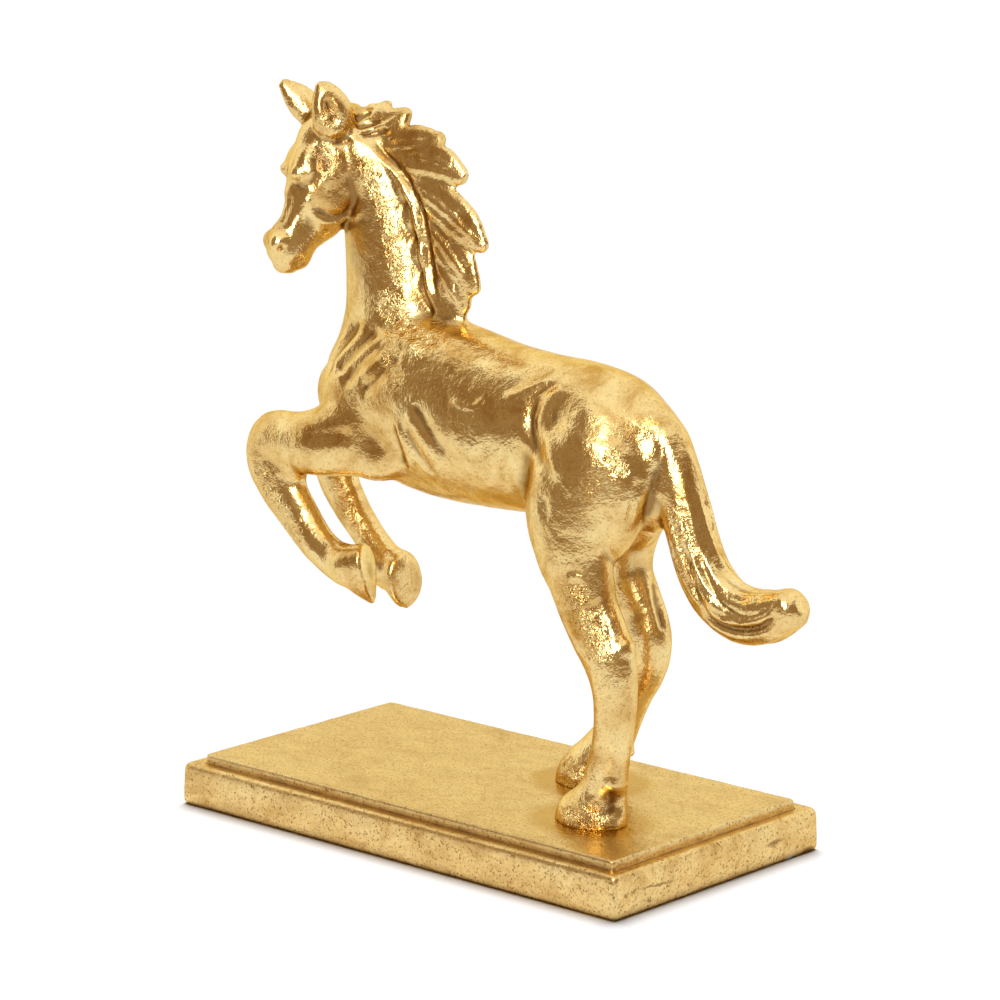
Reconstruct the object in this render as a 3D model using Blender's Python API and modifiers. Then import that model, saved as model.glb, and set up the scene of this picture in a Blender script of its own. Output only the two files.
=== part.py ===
"""Gilded cast horse, up on its hind legs, on a stepped rectangular plinth.

The horse faces -X, its left side is towards -Y, and +Z is up. The origin is the centre of the
plinth's underside. All sizes are in metres, apart from the horse's own drawing, whose unit is
HORSE_HEIGHT / DRAWN_HEIGHT, so that the figure keeps its proportions at any height.
"""

import math

import bmesh
import bpy
from mathutils import Euler, Matrix, Vector

# Plinth: a slab with leaning sides, and a raised panel on it
PLINTH_LENGTH = 0.180
PLINTH_WIDTH = 0.096
SLAB_HEIGHT = 0.0133
SIDE_LEAN = 0.0012
PANEL_HEIGHT = 0.0027
PANEL_INSET = 0.0041
PLINTH_ROUNDING = 0.0008

# Horse: its height from sole to ear tip, and where it stands
HORSE_HEIGHT = 0.212
BACK_SETBACK = 0.090  # from the plinth's rear edge to the drawing's origin, under the back
SEAT_GAP = 0.0003  # between the soles and the panel
DRAWN_HEIGHT = 212.0

# Surface: grain of the merged skin, how far it is smoothed, and the triangles kept
SKIN_GRAIN = 0.9  # drawn units
SMOOTH_PASSES = 6
TRUNK_PASSES = 28
TRUNK_CENTRE = (0, 0, 112)  # the oval in which the muscles are melted into each other
TRUNK_REACH = (84, 40, 33)
SKIN_TRIANGLES = 9200

# Lofts: facets round a section, and sections between two stations
FACETS = 32
SECTIONS = 4

GOLD = (0.80, 0.56, 0.20, 1.0)
GOLD_ROUGHNESS = 0.32

unit = HORSE_HEIGHT / DRAWN_HEIGHT
plinth_top = SLAB_HEIGHT + PANEL_HEIGHT
LATERAL = Vector((0, 1, 0))


def clear_scene():
    for obj in list(bpy.data.objects):
        bpy.data.objects.remove(obj)


def new_collection(name):
    collection = bpy.data.collections.new(name)
    bpy.context.scene.collection.children.link(collection)
    return collection


def gilt_material(name):
    material = bpy.data.materials.new(name)
    material.use_nodes = True
    shader = material.node_tree.nodes["Principled BSDF"]
    shader.inputs["Base Color"].default_value = GOLD
    shader.inputs["Metallic"].default_value = 1.0
    shader.inputs["Roughness"].default_value = GOLD_ROUGHNESS
    return material


# Lofts and muscles

def catmull(a, b, c, d, t):
    """The value at t between b and c of the smooth curve through a, b, c and d."""
    return 0.5 * (
        2 * b + (c - a) * t + (2 * a - 5 * b + 4 * c - d) * t ** 2 + (3 * b - a - 3 * c + d) * t ** 3
    )


def refine(stations):
    """The stations with SECTIONS steps between each two, on one smooth curve."""
    padded = [stations[0], *stations, stations[-1]]
    fine = []
    for i in range(len(stations) - 1):
        for step in range(SECTIONS):
            t = step / SECTIONS
            fine.append([catmull(*(padded[i + k][j] for k in range(4)), t) for j in range(5)])
    fine.append(list(stations[-1]))
    return fine


def add_loft(skin, stations, side=LATERAL):
    """A closed tube through oval sections: each station is x, y, z, half width, half depth."""
    fine = refine(stations)
    centres = [Vector(s[:3]) for s in fine]
    last = len(fine) - 1
    rings = []
    for i, section in enumerate(fine):
        along = (centres[min(i + 1, last)] - centres[max(i - 1, 0)]).normalized()
        across = (side - side.dot(along) * along).normalized()
        deep = along.cross(across)
        rings.append((centres[i], along, across, deep, section[3], section[4]))
    capped = [end_ring(rings[0], -1, 60), end_ring(rings[0], -1, 30), *rings]
    capped += [end_ring(rings[-1], 1, 30), end_ring(rings[-1], 1, 60)]
    loops = []
    for centre, _, across, deep, width, depth in capped:
        loop = []
        for k in range(FACETS):
            turn = math.tau * k / FACETS
            offset = across * width * math.cos(turn) + deep * depth * math.sin(turn)
            loop.append(skin.verts.new(centre + offset))
        loops.append(loop)
    for low, high in zip(loops, loops[1:]):
        for k in range(FACETS):
            j = (k + 1) % FACETS
            skin.faces.new((low[k], low[j], high[j], high[k]))
    skin.faces.new(reversed(loops[0]))
    skin.faces.new(loops[-1])


def end_ring(ring, way, degrees):
    """A smaller copy of an end ring, moved outwards, which rounds the tube's end."""
    centre, along, across, deep, width, depth = ring
    shrink = math.cos(math.radians(degrees))
    reach = min(width, depth) * math.sin(math.radians(degrees))
    return centre + along * way * reach, along, across, deep, width * shrink, depth * shrink


def add_muscle(skin, centre, radii, turn=(0, 0, 0)):
    """An ellipsoid with its radii along x, y and z, turned by degrees about each."""
    rotation = Euler([math.radians(a) for a in turn]).to_matrix().to_4x4()
    place = Matrix.Translation(centre) @ rotation @ Matrix.Diagonal((*radii, 1))
    bmesh.ops.create_uvsphere(skin, u_segments=20, v_segments=12, radius=1, matrix=place)


def add_pair(skin, centre, radii, turn=(0, 0, 0)):
    """A muscle on the left side and its mirror image on the right."""
    x, y, z = centre
    add_muscle(skin, (x, -y, z), radii, (turn[0], turn[1], turn[2]))
    add_muscle(skin, (x, y, z), radii, (-turn[0], turn[1], -turn[2]))


# Head: drawn in its own frame, along the face, down to the jaw and out to the left

HEAD_TURN = 62  # degrees to the horse's left
HEAD_DROP = 65  # degrees of the face's line below level
POLL = Vector((-54.5, -8, 201))
EAR_FLATNESS = 0.7  # thickness over width


def head_frame():
    turn, drop = math.radians(HEAD_TURN), math.radians(HEAD_DROP)
    level = Vector((-math.cos(turn), -math.sin(turn), 0))
    left = Vector((0, 0, 1)).cross(level)
    along = level * math.cos(drop) - Vector((0, 0, 1)) * math.sin(drop)
    down = -level * math.sin(drop) - Vector((0, 0, 1)) * math.cos(drop)
    return along, down, left


def head_point(u, v, w):
    along, down, left = head_frame()
    return POLL + along * u + down * v + left * w


def head_station(u, v, width, depth):
    return (*head_point(u, v, 0), width, depth)


def add_head_lump(skin, place, radii):
    """An ellipsoid with its radii along the face, down to the jaw and out to the side."""
    along, down, left = head_frame()
    axes = Matrix((along, down, left)).transposed().to_4x4()
    matrix = Matrix.Translation(head_point(*place)) @ axes @ Matrix.Diagonal((*radii, 1))
    bmesh.ops.create_uvsphere(skin, u_segments=20, v_segments=12, radius=1, matrix=matrix)


def add_head(skin):
    left = head_frame()[2]
    add_loft(
        skin,
        [
            head_station(1, 2.5, 6.5, 7),
            head_station(6, 0.2, 8.6, 11.2),
            head_station(12, 0.6, 9.6, 12),
            head_station(18, 1.2, 9.8, 12),
            head_station(24, 2, 8.8, 11),
            head_station(30, 2.6, 7, 10.8),
            head_station(36, 1.2, 5.8, 8.6),
            head_station(41, 0.2, 5.6, 8),
            head_station(45.5, 0.4, 5.4, 7),
            head_station(47.6, 1.0, 4.2, 4.6),
        ],
        side=left,
    )
    for way in (1, -1):
        add_head_lump(skin, (22, 5, 5 * way), (10, 8.5, 4.6))
        add_head_lump(skin, (20, -7.6, 6.6 * way), (5.5, 4.2, 3.8))
        add_head_lump(skin, (42.5, -4.5, 3.6 * way), (3.6, 3, 2.6))
    add_head_lump(skin, (44.5, 4.8, 0), (4.2, 3, 4.2))
    add_ear(skin, [(5.5, -5, 5.5, 4.2), (1, -6.5, 7.2, 4.6), (-3, -10, 8, 4), (-6.6, -14.4, 8, 1.6)])
    add_ear(skin, [(3, -6, -5.5, 4), (0.5, -10.5, -6.5, 3.6), (-2.4, -18.4, -8, 1.7)])


def add_ear(skin, places):
    """A flattened cone through places in the head's frame, each with its half width."""
    along, down, _ = head_frame()
    stations = [(*head_point(*place[:3]), place[3], place[3] * EAR_FLATNESS) for place in places]
    add_loft(skin, stations, side=along - down)


# Body and legs

def add_body(skin):
    add_loft(
        skin,
        [
            (66, 0, 111, 10, 12),
            (59, 0, 112, 14.5, 16.5),
            (50, 0, 112.5, 18, 21),
            (38, 0, 112, 19.5, 23.4),
            (22, 0, 111.3, 19.5, 24.6),
            (4, 0, 111.5, 20.5, 26),
            (-14, 0, 113, 20.5, 27.8),
            (-32, 0, 114.5, 19, 28),
            (-46, 0, 116, 17, 25),
            (-55, 0, 114, 14.5, 20),
            (-61, 0, 112, 10.5, 14),
        ],
    )
    add_loft(
        skin,
        [
            (-38, 0, 106, 16, 28),
            (-40, 0, 118, 14.5, 26),
            (-41.5, 0, 130, 12.5, 22.2),
            (-42, 0, 142, 10.8, 17.9),
            (-43.4, -1, 158, 9.8, 15.5),
            (-45.6, -2.5, 174, 9.2, 13.2),
            (-48.5, -5, 185, 8.8, 11.5),
            (-51, -7.5, 192, 8, 9.5),
        ],
    )
    add_pair(skin, (-45, 10.5, 112), (15, 8, 20), (0, -25, 0))
    add_pair(skin, (-57, 6.5, 107), (8, 7, 10))
    add_pair(skin, (46, 9.5, 110), (18, 10.5, 19), (0, 20, 0))
    add_pair(skin, (40, 12, 100), (17, 9, 24), (0, -20, 0))
    add_muscle(skin, (54.5, -10.5, 94), (11.5, 9.5, 21), (0, 27, 0))
    add_muscle(skin, (52, 9, 102), (10, 9, 15), (0, 20, 0))
    add_muscle(skin, (61, 0, 102), (9, 9, 15))
    add_pair(skin, (-38, 13, 97.5), (13, 7, 9))


def add_forelegs(skin):
    add_loft(
        skin,
        [
            (-42, -11, 104, 9, 15),
            (-54, -14, 101, 9, 12),
            (-67, -15.3, 98.8, 7.4, 10),
            (-78.8, -15.3, 98.2, 6.8, 9),
            (-82, -15.3, 91.5, 6.6, 7.6),
            (-78.4, -15.3, 82.5, 5.6, 6.4),
            (-70.5, -15.3, 74.3, 5.2, 5.4),
            (-61.5, -15.3, 67, 5.2, 5.2),
            (-54, -15.2, 63.5, 5.6, 6.2),
            (-48, -15, 62, 6, 7.4),
        ],
    )
    add_loft(
        skin,
        [
            (-42, 11, 104, 9, 15),
            (-54, 14, 101, 9, 12),
            (-67, 15, 98.5, 7.4, 10),
            (-78.5, 15, 97, 6.8, 8.8),
            (-83, 15, 89.5, 6.4, 7.4),
            (-80.5, 15, 80, 5.4, 6),
            (-74.5, 15, 71.5, 5.1, 5.3),
            (-67.5, 15, 63.5, 5.1, 5.3),
            (-62, 15, 57.5, 5.8, 6.4),
            (-58, 15, 54, 6.4, 7.6),
        ],
    )
    add_hoof(skin, (-39.8, -14.5, 60.6), (7, 9.6), (5.4, 6.4), 9, (-98, 30))
    add_hoof(skin, (-51.4, 15, 51.8), (7.8, 9.8), (5.6, 6.4), 8, (-90, -8))


def add_hoof(skin, centre, sole, coronet, height, tilt):
    """A leaning cone: half width and half length at the sole and at the coronet above it.

    Untilted, the sole is level and the toe points to -X. The tilt is in degrees about y, which
    lifts the heel, and then about z.
    """
    pitch, yaw = (math.radians(a) for a in tilt)
    turn = Matrix.Rotation(yaw, 4, "Z") @ Matrix.Rotation(pitch, 4, "Y")
    lean = Matrix.Shear("XY", 4, (0.35, 0))
    result = bmesh.ops.create_cone(
        skin, cap_ends=True, segments=24, radius1=1, radius2=1, depth=1,
        matrix=Matrix.Translation((0, 0, 0.5)),
    )
    for vert in result["verts"]:
        width, length = sole if vert.co.z < 0.5 else coronet
        shaped = Vector((vert.co.x * length, vert.co.y * width, vert.co.z * height))
        vert.co = Matrix.Translation(centre) @ turn @ lean @ shaped


def add_hindlegs(skin):
    add_loft(
        skin,
        [
            (48, -11, 112, 11, 20),
            (44, -14, 96, 10.5, 18),
            (45.5, -15.5, 82, 9.5, 13.5),
            (48.2, -15.5, 74, 8.6, 11.2),
            (51.4, -15.5, 65, 8, 9.6),
            (56, -15.5, 57, 7.4, 9.4),
            (60, -15.5, 50, 6.9, 8.8),
            (62, -15.5, 40, 6.3, 7),
            (61.3, -15.5, 28, 5.9, 6.2),
            (59.4, -15.5, 18, 6, 6.5),
            (57, -15.5, 10.5, 7, 8),
            (55.2, -15.6, 5.5, 8.4, 10.6),
            (53.8, -15.8, 0.5, 9, 12.6),
            (53.4, -15.8, -3, 9, 12.8),
        ],
    )
    add_loft(
        skin,
        [
            (46, 11, 110, 11, 20),
            (40, 14, 94, 10.5, 18),
            (38, 15, 80, 9, 13),
            (39.5, 15, 69, 7.7, 9.4),
            (43.3, 15, 61.5, 7.2, 8.8),
            (47.7, 15, 53, 6.8, 8.4),
            (48.8, 15, 46, 6.4, 7.8),
            (47.2, 15, 39.5, 6, 7.2),
            (43.3, 15, 32, 5.8, 6.4),
            (39.2, 15, 23.5, 5.8, 6.4),
            (35, 15, 15.5, 6.4, 7.2),
            (31.6, 15, 10, 7.2, 8.6),
            (28.8, 15, 5, 8.4, 10.8),
            (26.8, 15, 0.5, 9, 12.4),
            (26.4, 15, -3, 9, 12.6),
        ],
    )


def add_tail(skin):
    add_loft(
        skin,
        [
            (58, 0, 123, 6.5, 7.5),
            (64.5, 0, 117.5, 7.5, 8.5),
            (71.3, 0, 107.5, 7.6, 8.2),
            (75.5, 0, 96, 7.6, 8),
            (78.8, 0, 86, 7.6, 8),
            (83, 0, 77.5, 7.6, 8.2),
            (89.5, 0, 71, 7.6, 8.5),
            (98, 0, 67.8, 7.6, 8.5),
            (107, 0, 68.8, 7.4, 8),
            (113.8, 0, 71.8, 6.5, 6.6),
        ],
    )


# Mane: a row of leaf shaped locks, swept back from the crest of the neck

CREST = [
    (-51.8, -7, 199.9),
    (-45.3, -5, 192.9),
    (-35.4, -3.5, 184),
    (-30.1, -2, 170.9),
    (-27.4, -1, 157.5),
    (-22.5, 0, 141),
]
LOCK_THICKNESS = 3.2  # half of it, at a lock's middle
LOCKS = [
    # root's share of the crest, tip, bow below the straight line, half width
    (0.02, (-42.2, -1.5, 206), -1.5, 3.2),
    (0.10, (-34.8, -1.0, 204), -1.5, 4.2),
    (0.20, (-21, 0, 196.8), -0.5, 5.6),
    (0.32, (-11.6, 0, 185.4), 3.0, 6.6),
    (0.42, (-3.4, 0, 164.2), 3.5, 6.2),
    (0.54, (-7.2, 0, 150.5), 3.0, 6.2),
    (0.70, (-11.5, 0, 144.5), 2.5, 6.0),
    (0.84, (-14.0, 0, 137), 2.0, 5.4),
]


def crest_point(share):
    place = share * (len(CREST) - 1)
    i = min(int(place), len(CREST) - 2)
    return Vector(CREST[i]).lerp(Vector(CREST[i + 1]), place - i)


def add_mane(skin):
    for share, tip, bow, width in LOCKS:
        root = crest_point(share)
        chord = Vector(tip) - root
        below = chord.cross(LATERAL).normalized()
        stations = []
        for place, breadth, body in ((0, 0.7, 1.1), (0.35, 0.95, 1), (0.7, 1, 0.9), (0.95, 0.5, 0.6)):
            centre = root + chord * place + below * bow * 4 * place * (1 - place)
            stations.append((*centre, LOCK_THICKNESS * body, width * breadth))
        add_loft(skin, stations)


# Building

def build_horse(collection, cutters, material):
    skin = bmesh.new()
    add_body(skin)
    add_head(skin)
    add_forelegs(skin)
    add_hindlegs(skin)
    add_tail(skin)
    add_mane(skin)
    bmesh.ops.recalc_face_normals(skin, faces=skin.faces)
    mesh = merged_skin(skin)
    back = Vector((PLINTH_LENGTH / 2 - BACK_SETBACK, 0, plinth_top))
    mesh.transform(Matrix.Translation(back) @ Matrix.Scale(unit, 4))
    mesh.materials.append(material)
    horse = bpy.data.objects.new("horse", mesh)
    collection.objects.link(horse)
    smooth = horse.modifiers.new("smooth", "SMOOTH")
    smooth.factor = 0.5
    smooth.iterations = SMOOTH_PASSES
    thin = horse.modifiers.new("thin", "DECIMATE")
    thin.ratio = min(1.0, SKIN_TRIANGLES / sum(len(face.vertices) - 2 for face in mesh.polygons))
    soles = horse.modifiers.new("soles", "BOOLEAN")
    soles.operation = "DIFFERENCE"
    soles.solver = "EXACT"
    soles.object = sole_cutter(cutters)
    return horse


def merged_skin(skin):
    """One closed skin round all the overlapping pieces, with the trunk's muscles melted together."""
    pieces = bpy.data.meshes.new("pieces")
    skin.to_mesh(pieces)
    skin.free()
    rough = bpy.data.objects.new("pieces", pieces)
    bpy.context.scene.collection.objects.link(rough)
    merge = rough.modifiers.new("merge", "REMESH")
    merge.mode = "VOXEL"
    merge.voxel_size = SKIN_GRAIN
    merge.use_smooth_shade = True
    bpy.context.view_layer.update()
    merged = bpy.data.meshes.new_from_object(rough.evaluated_get(bpy.context.evaluated_depsgraph_get()))
    merged.name = "horse"
    bpy.data.objects.remove(rough)
    form = bmesh.new()
    form.from_mesh(merged)
    trunk = [vert for vert in form.verts if in_trunk(vert.co)]
    for _ in range(TRUNK_PASSES):
        bmesh.ops.smooth_vert(form, verts=trunk, factor=0.5, use_axis_x=True, use_axis_y=True, use_axis_z=True)
    form.to_mesh(merged)
    form.free()
    return merged


def in_trunk(place):
    return sum(((place[i] - TRUNK_CENTRE[i]) / TRUNK_REACH[i]) ** 2 for i in range(3)) < 1


def sole_cutter(cutters):
    """A box whose top is the plane of the soles, just above the panel."""
    depth = 0.02
    bpy.ops.mesh.primitive_cube_add(size=1)
    cutter = bpy.context.object
    cutter.name = "sole_cutter"
    cutter.scale = (PLINTH_LENGTH * 2, PLINTH_WIDTH * 2, depth)
    cutter.location = (0, 0, plinth_top + SEAT_GAP - depth / 2)
    cutter.hide_render = True
    cutter.display_type = "WIRE"
    for holder in cutter.users_collection:
        holder.objects.unlink(cutter)
    cutters.objects.link(cutter)
    return cutter


def build_plinth(collection, material):
    """Four levels of a rectangle, lofted: foot, slab edge, panel foot and panel edge."""
    levels = [
        (0, 0),
        (SIDE_LEAN, SLAB_HEIGHT),
        (SIDE_LEAN + PANEL_INSET, SLAB_HEIGHT),
        (SIDE_LEAN + PANEL_INSET, plinth_top),
    ]
    form = bmesh.new()
    loops = []
    for inset, height in levels:
        x, y = PLINTH_LENGTH / 2 - inset, PLINTH_WIDTH / 2 - inset
        corners = [(x, -y), (x, y), (-x, y), (-x, -y)]
        loops.append([form.verts.new((*corner, height)) for corner in corners])
    for low, high in zip(loops, loops[1:]):
        for k in range(4):
            j = (k + 1) % 4
            form.faces.new((low[k], low[j], high[j], high[k]))
    form.faces.new(reversed(loops[0]))
    form.faces.new(loops[-1])
    mesh = bpy.data.meshes.new("plinth")
    form.to_mesh(mesh)
    form.free()
    plinth = bpy.data.objects.new("plinth", mesh)
    collection.objects.link(plinth)
    mesh.materials.append(material)
    rounding = plinth.modifiers.new("rounding", "BEVEL")
    rounding.width = PLINTH_ROUNDING
    rounding.segments = 2
    rounding.limit_method = "ANGLE"
    rounding.angle_limit = math.radians(30)
    return plinth


def build():
    clear_scene()
    statue = new_collection("horse_sculpture")
    cutters = new_collection("cutters")
    gilt = gilt_material("gold_leaf")
    build_plinth(statue, gilt)
    build_horse(statue, cutters, gilt)


build()
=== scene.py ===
import math
from functools import partial

import bmesh
import bpy
import numpy as np
from mathutils import Euler, Matrix, Vector
from mathutils.bvhtree import BVHTree


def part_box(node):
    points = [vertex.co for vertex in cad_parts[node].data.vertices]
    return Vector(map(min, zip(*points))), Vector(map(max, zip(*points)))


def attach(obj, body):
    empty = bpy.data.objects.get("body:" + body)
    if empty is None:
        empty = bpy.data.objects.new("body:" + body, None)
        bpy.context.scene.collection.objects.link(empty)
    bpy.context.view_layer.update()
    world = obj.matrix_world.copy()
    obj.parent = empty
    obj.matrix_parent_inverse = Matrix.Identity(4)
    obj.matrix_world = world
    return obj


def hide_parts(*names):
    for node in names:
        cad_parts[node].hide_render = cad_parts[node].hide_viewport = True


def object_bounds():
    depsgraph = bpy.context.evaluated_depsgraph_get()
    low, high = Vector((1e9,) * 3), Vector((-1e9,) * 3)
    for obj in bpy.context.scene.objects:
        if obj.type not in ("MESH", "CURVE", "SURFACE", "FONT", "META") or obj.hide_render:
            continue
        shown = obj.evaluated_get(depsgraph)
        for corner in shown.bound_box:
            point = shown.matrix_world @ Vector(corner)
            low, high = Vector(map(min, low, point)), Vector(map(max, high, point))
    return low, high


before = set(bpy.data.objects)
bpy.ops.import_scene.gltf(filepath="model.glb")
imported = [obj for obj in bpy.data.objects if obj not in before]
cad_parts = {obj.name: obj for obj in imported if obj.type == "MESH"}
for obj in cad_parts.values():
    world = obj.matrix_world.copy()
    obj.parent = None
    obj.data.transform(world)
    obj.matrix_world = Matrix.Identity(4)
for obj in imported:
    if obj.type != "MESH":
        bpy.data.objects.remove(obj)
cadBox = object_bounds()
print("frame loaded")

# The horse is drawn in its own units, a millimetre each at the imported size: x towards the tail,
# y to its right, z up from the plinth's top. It faces -X.
drawnTop = 214.02  # the far ear's tip
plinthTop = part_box("plinth")[1].z
unit = (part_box("horse")[1].z - plinthTop) / drawnTop
lateral = Vector((0, 1, 0))


# Small helpers

def linear(colour):  # "#rrggbb" as seen on a screen, to the linear values that a node takes
    shares = [int(colour[i:i + 2], 16) / 255 for i in (1, 3, 5)]
    return (*(s / 12.92 if s <= 0.04045 else ((s + 0.055) / 1.055) ** 2.4 for s in shares), 1)


def feed(node, given):  # values and links, by socket name or in the sockets' order
    for socket, source in given.items() if isinstance(given, dict) else enumerate(given):
        if isinstance(source, bpy.types.NodeSocket):
            node.id_data.links.new(source, node.inputs[socket])
        else:
            node.inputs[socket].default_value = source


def addNode(tree, kind, given=(), output=0, stops=None, **settings):  # gives one of its outputs
    node = tree.nodes.new(kind if "Node" in kind else "ShaderNode" + kind)
    for name, value in settings.items():
        setattr(node, name, value)
    feed(node, given)
    if stops:  # a ramp's colours, first to last
        ramp = node.color_ramp.elements
        while len(ramp) < len(stops):
            ramp.new(0.5)
        for element, (place, colour) in zip(ramp, stops):
            element.position = place
            element.color = linear(colour)
    return node.outputs[output] if node.outputs else node


def newMaterial(name):
    material = bpy.data.materials.new(name)
    material.use_nodes = True
    return material, material.node_tree, material.node_tree.nodes["Principled BSDF"]


def gridMesh(name, rows):  # points in rows, joined by faces
    count = len(rows[0])
    corners = [k for k in range(count * (len(rows) - 1)) if (k + 1) % count]
    mesh = bpy.data.meshes.new(name)
    mesh.from_pydata([point for row in rows for point in row], [],
                     [(k, k + 1, k + count + 1, k + count) for k in corners])
    return mesh


def linkObject(name, mesh):
    obj = bpy.data.objects.new(name, mesh)
    bpy.context.scene.collection.objects.link(obj)
    return obj


def plainMesh(obj, name):  # the object's mesh with its modifiers applied; the object goes
    bpy.context.view_layer.update()
    mesh = bpy.data.meshes.new_from_object(obj.evaluated_get(bpy.context.evaluated_depsgraph_get()))
    mesh.name = name
    bpy.data.objects.remove(obj)
    return mesh


# Lofts and lumps, which the figure is put together from

def catmull(a, b, c, d, t):
    return 0.5 * (
        2 * b + (c - a) * t + (2 * a - 5 * b + 4 * c - d) * t ** 2 + (3 * b - a - 3 * c + d) * t ** 3
    )


def refine(stations, steps):
    padded = [stations[0], *stations, stations[-1]]
    fine = []
    for i in range(len(stations) - 1):
        for step in range(steps):
            around = padded[i:i + 4]
            fine.append([catmull(*column, step / steps) for column in zip(*around)])
    fine.append(list(stations[-1]))
    return fine


def spine(stations, steps):  # the stations refined, with the line's direction at each
    fine = refine(stations, steps)
    centres = [Vector(s[:3]) for s in fine]
    last = len(fine) - 1
    for i, section in enumerate(fine):
        along = (centres[min(i + 1, last)] - centres[max(i - 1, 0)]).normalized()
        yield centres[i], along, section[3], section[4]


def joinLoops(form, loops):
    count = len(loops[0])
    for low, high in zip(loops, loops[1:]):
        for k in range(count):
            j = (k + 1) % count
            form.faces.new((low[k], low[j], high[j], high[k]))
    form.faces.new(reversed(loops[0]))


def layTube(skin, rings, facets, reach):  # reach says how far a point is from its ring's centre
    loops = []
    for i, ring in enumerate(rings):
        share = i / (len(rings) - 1)
        turns = [math.tau * k / facets for k in range(facets)]
        loops.append([skin.verts.new(ring[0] + reach(ring, turn, share)) for turn in turns])
    joinLoops(skin, loops)
    skin.faces.new(loops[-1])


def addLoft(skin, stations, side=lateral, facets=36, steps=5, fluting=None):
    # Each station is x, y, z, half width, half depth. fluting scales a section by turn and share.
    rings = []
    for centre, along, width, depth in spine(stations, steps):
        across = (side - side.dot(along) * along).normalized()
        rings.append((centre, along, across, along.cross(across), width, depth))
    foot = [roundedEnd(rings[0], -1, degrees) for degrees in (60, 30)]
    tip = [roundedEnd(rings[-1], 1, degrees) for degrees in (30, 60)]

    def reach(ring, turn, share):
        _, _, across, deep, width, depth = ring
        offset = across * width * math.cos(turn) + deep * depth * math.sin(turn)
        return offset * fluting(turn, share) if fluting else offset

    layTube(skin, [*foot, *rings, *tip], facets, reach)


def roundedEnd(ring, way, degrees):
    centre, along, across, deep, width, depth = ring
    shrink = math.cos(math.radians(degrees))
    reach = min(width, depth) * math.sin(math.radians(degrees))
    return centre + along * way * reach, along, across, deep, width * shrink, depth * shrink


def addLump(skin, centre, radii, turn=(0, 0, 0), axes=None):
    rotation = axes or Euler([math.radians(a) for a in turn]).to_matrix().to_4x4()
    place = Matrix.Translation(centre) @ rotation @ Matrix.Diagonal((*radii, 1))
    bmesh.ops.create_uvsphere(skin, u_segments=28, v_segments=18, radius=1, matrix=place)


def addPair(skin, centre, radii, turn=(0, 0, 0)):
    x, y, z = centre
    addLump(skin, (x, -y, z), radii, turn)
    addLump(skin, (x, y, z), radii, (-turn[0], turn[1], -turn[2]))


# Head, drawn along the face (u), down to the jaw (v) and out to its left (w)

head = {
    "turn": 62,  # degrees to the horse's left
    "drop": 65,  # degrees of the face's line below level
    "poll": Vector((-54.5, -8, 201)),
    "earFlatness": 0.6,
    "sections": [  # u, v, half width, half depth
        (1, 2.5, 6.5, 7), (6, 0.2, 8.6, 11.2), (12, 0.6, 9.6, 12), (18, 1.2, 9.8, 12),
        (24, 2, 8.8, 11), (30, 2.6, 7, 10.8), (36, 1.2, 5.8, 8.6), (41, 0.2, 5.6, 8),
        (45.5, 0.4, 5.4, 7), (47.6, 1, 4.2, 4.6),
    ],
    "lumps": [  # place on one side, radii along u, v and w
        ((22, 5, 5), (10, 8.5, 4.6)),  # cheek
        ((17, -6.6, 4.4), (7, 4.4, 4)),  # brow
        ((21.4, -8.2, 5), (2.6, 3.2, 2.6)),  # its edge over the eye
        ((43, -4.8, 3.2), (3.6, 3.2, 2.8)),  # nostril's wing
        ((45.5, 1.6, 2.6), (2.6, 2.0, 2.6)),  # upper lip
    ],
    "chin": ((44.5, 4.8, 0), (4.2, 3, 4.2)),
    "ears": [  # u, v, w, half width
        [(5, -2.4, 5.5, 5.6), (2.4, -5, 7, 6.8), (-1.4, -8.8, 8, 6.2), (-4.6, -12.4, 8.2, 4.2),
         (-6, -14.4, 8.2, 2)],
        [(4, -6, -5.5, 4.6), (1.7, -10.4, -6.5, 5.2), (-0.3, -15, -7.4, 4.4), (-2, -20, -8.2, 2)],
    ],
}


def headAxes():
    turn, drop = math.radians(head["turn"]), math.radians(head["drop"])
    level = Vector((-math.cos(turn), -math.sin(turn), 0))
    up = Vector((0, 0, 1))
    along = level * math.cos(drop) - up * math.sin(drop)
    down = -level * math.sin(drop) - up * math.cos(drop)
    return along, down, up.cross(level)


def headPoint(u, v, w):
    along, down, left = headAxes()
    return head["poll"] + along * u + down * v + left * w


def addHead(skin):
    along, down, left = headAxes()
    axes = Matrix((along, down, left)).transposed().to_4x4()
    stations = [(*headPoint(u, v, 0), width, depth) for u, v, width, depth in head["sections"]]
    addLoft(skin, stations, side=left)
    for (u, v, w), radii in head["lumps"]:
        for way in (1, -1):
            addLump(skin, headPoint(u, v, w * way), radii, axes=axes)
    addLump(skin, headPoint(*head["chin"][0]), head["chin"][1], axes=axes)
    for places in head["ears"]:
        stations = [(*headPoint(u, v, w), half, half * head["earFlatness"]) for u, v, w, half in places]
        addLoft(skin, stations, side=along - down)


# Body, legs and hooves

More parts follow.
